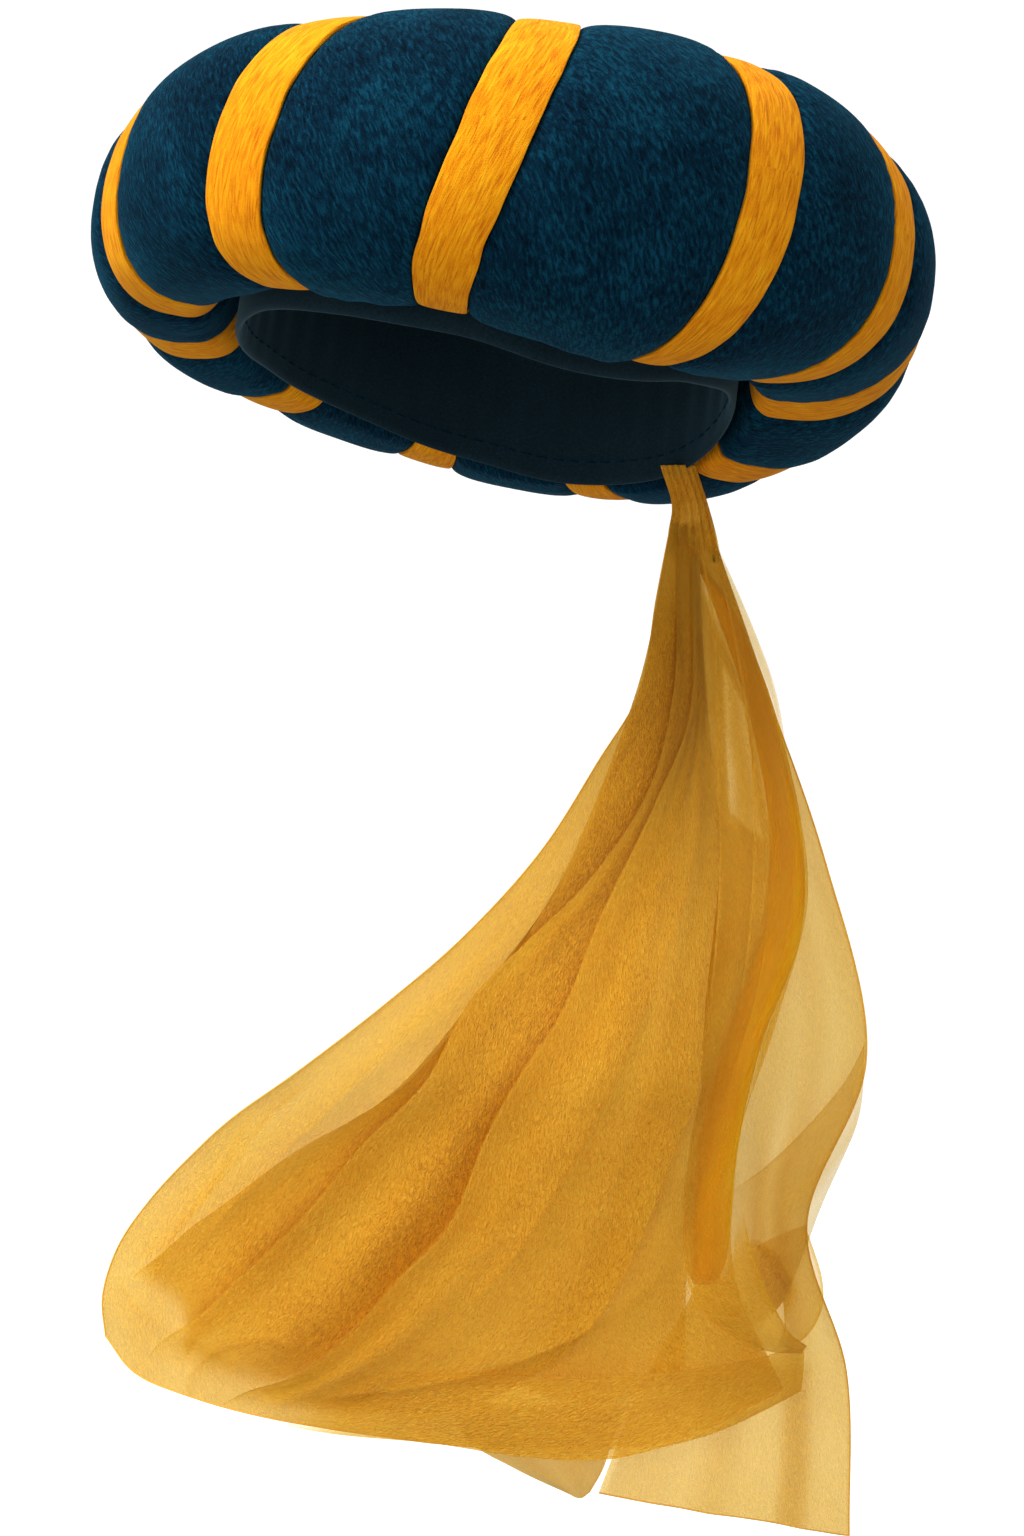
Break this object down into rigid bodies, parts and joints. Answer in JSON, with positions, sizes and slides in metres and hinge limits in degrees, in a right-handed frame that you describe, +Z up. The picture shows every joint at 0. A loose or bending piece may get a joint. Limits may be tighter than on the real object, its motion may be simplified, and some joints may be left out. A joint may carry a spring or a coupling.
{
  "type": "turban with veil",
  "caption": "Stuffed velvet ring turban bound with gold bands, with a gathered sheer veil and a velvet streamer that hang from the rim at the left.",
  "frame": {"origin": "the head seat: the middle of the headband's rim, in the hollow that the head goes into", "axes": "+Z up as the hat is worn, -Y to the wearer's front, +X to the wearer's left, where the veil hangs"},
  "size_m": [0.2772, 0.278, 0.4791],
  "materials": {
    "teal_velvet": "velvet pile",
    "gold_velvet": "velvet pile",
    "dark_lining": "matt cloth",
    "organza": "sheer crinkled organza",
    "streamer": "velvet pile"
  },
  "bodies": {
    "root": {"crown_back_left": "teal_velvet", "crown_back_right": "teal_velvet", "crown_front_left": "teal_velvet", "crown_front_right": "teal_velvet", "gold_band_01": "gold_velvet", "gold_band_02": "gold_velvet", "gold_band_03": "gold_velvet", "gold_band_04": "gold_velvet", "gold_band_05": "gold_velvet", "gold_band_06": "gold_velvet", "gold_band_07": "gold_velvet", "gold_band_08": "gold_velvet", "gold_band_09": "gold_velvet", "gold_band_10": "gold_velvet", "gold_band_11": "gold_velvet", "gold_streamer": "streamer", "headband": "dark_lining", "roll": "teal_velvet", "veil_back": "organza", "veil_front": "organza", "veil_gather": "organza"}
  },
  "joints": []
}
